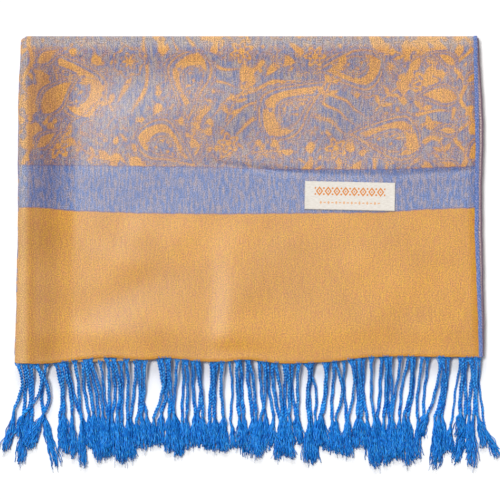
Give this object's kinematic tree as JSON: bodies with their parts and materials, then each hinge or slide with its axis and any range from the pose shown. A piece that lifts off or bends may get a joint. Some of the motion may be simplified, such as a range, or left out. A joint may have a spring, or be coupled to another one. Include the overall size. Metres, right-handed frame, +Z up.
{
  "type": "folded silk shawl",
  "caption": "Silk jacquard shawl folded flat into a rectangle, with a paisley field, a plain border, a sewn label and a knotted fringe along the top layer's hem.",
  "frame": {"origin": "middle of the flat underside, on the surface the shawl lies on", "axes": "+X from the lengthwise fold to the selvedges, +Y from the fringed hem to the crosswise fold, +Z up"},
  "size_m": [0.3731, 0.3285, 0.0132],
  "materials": {
    "silk_orange": "silk jacquard, orange weft over lilac warp, soft sheen",
    "silk_layers": "silk jacquard, hidden layers with orange and lilac edges",
    "selvedge_blue": "dense woven edge in blue silk",
    "label_white": "woven label, off-white satin weave, no words",
    "fringe_blue": "twisted and knotted silk strands with loose tails"
  },
  "bodies": {
    "root": {"front_cloth": "silk_orange", "folded_layers": "silk_layers", "selvedge_right": "selvedge_blue", "label": "label_white", "fringe_upper": "fringe_blue", "fringe_lower": "fringe_blue"}
  },
  "joints": []
}
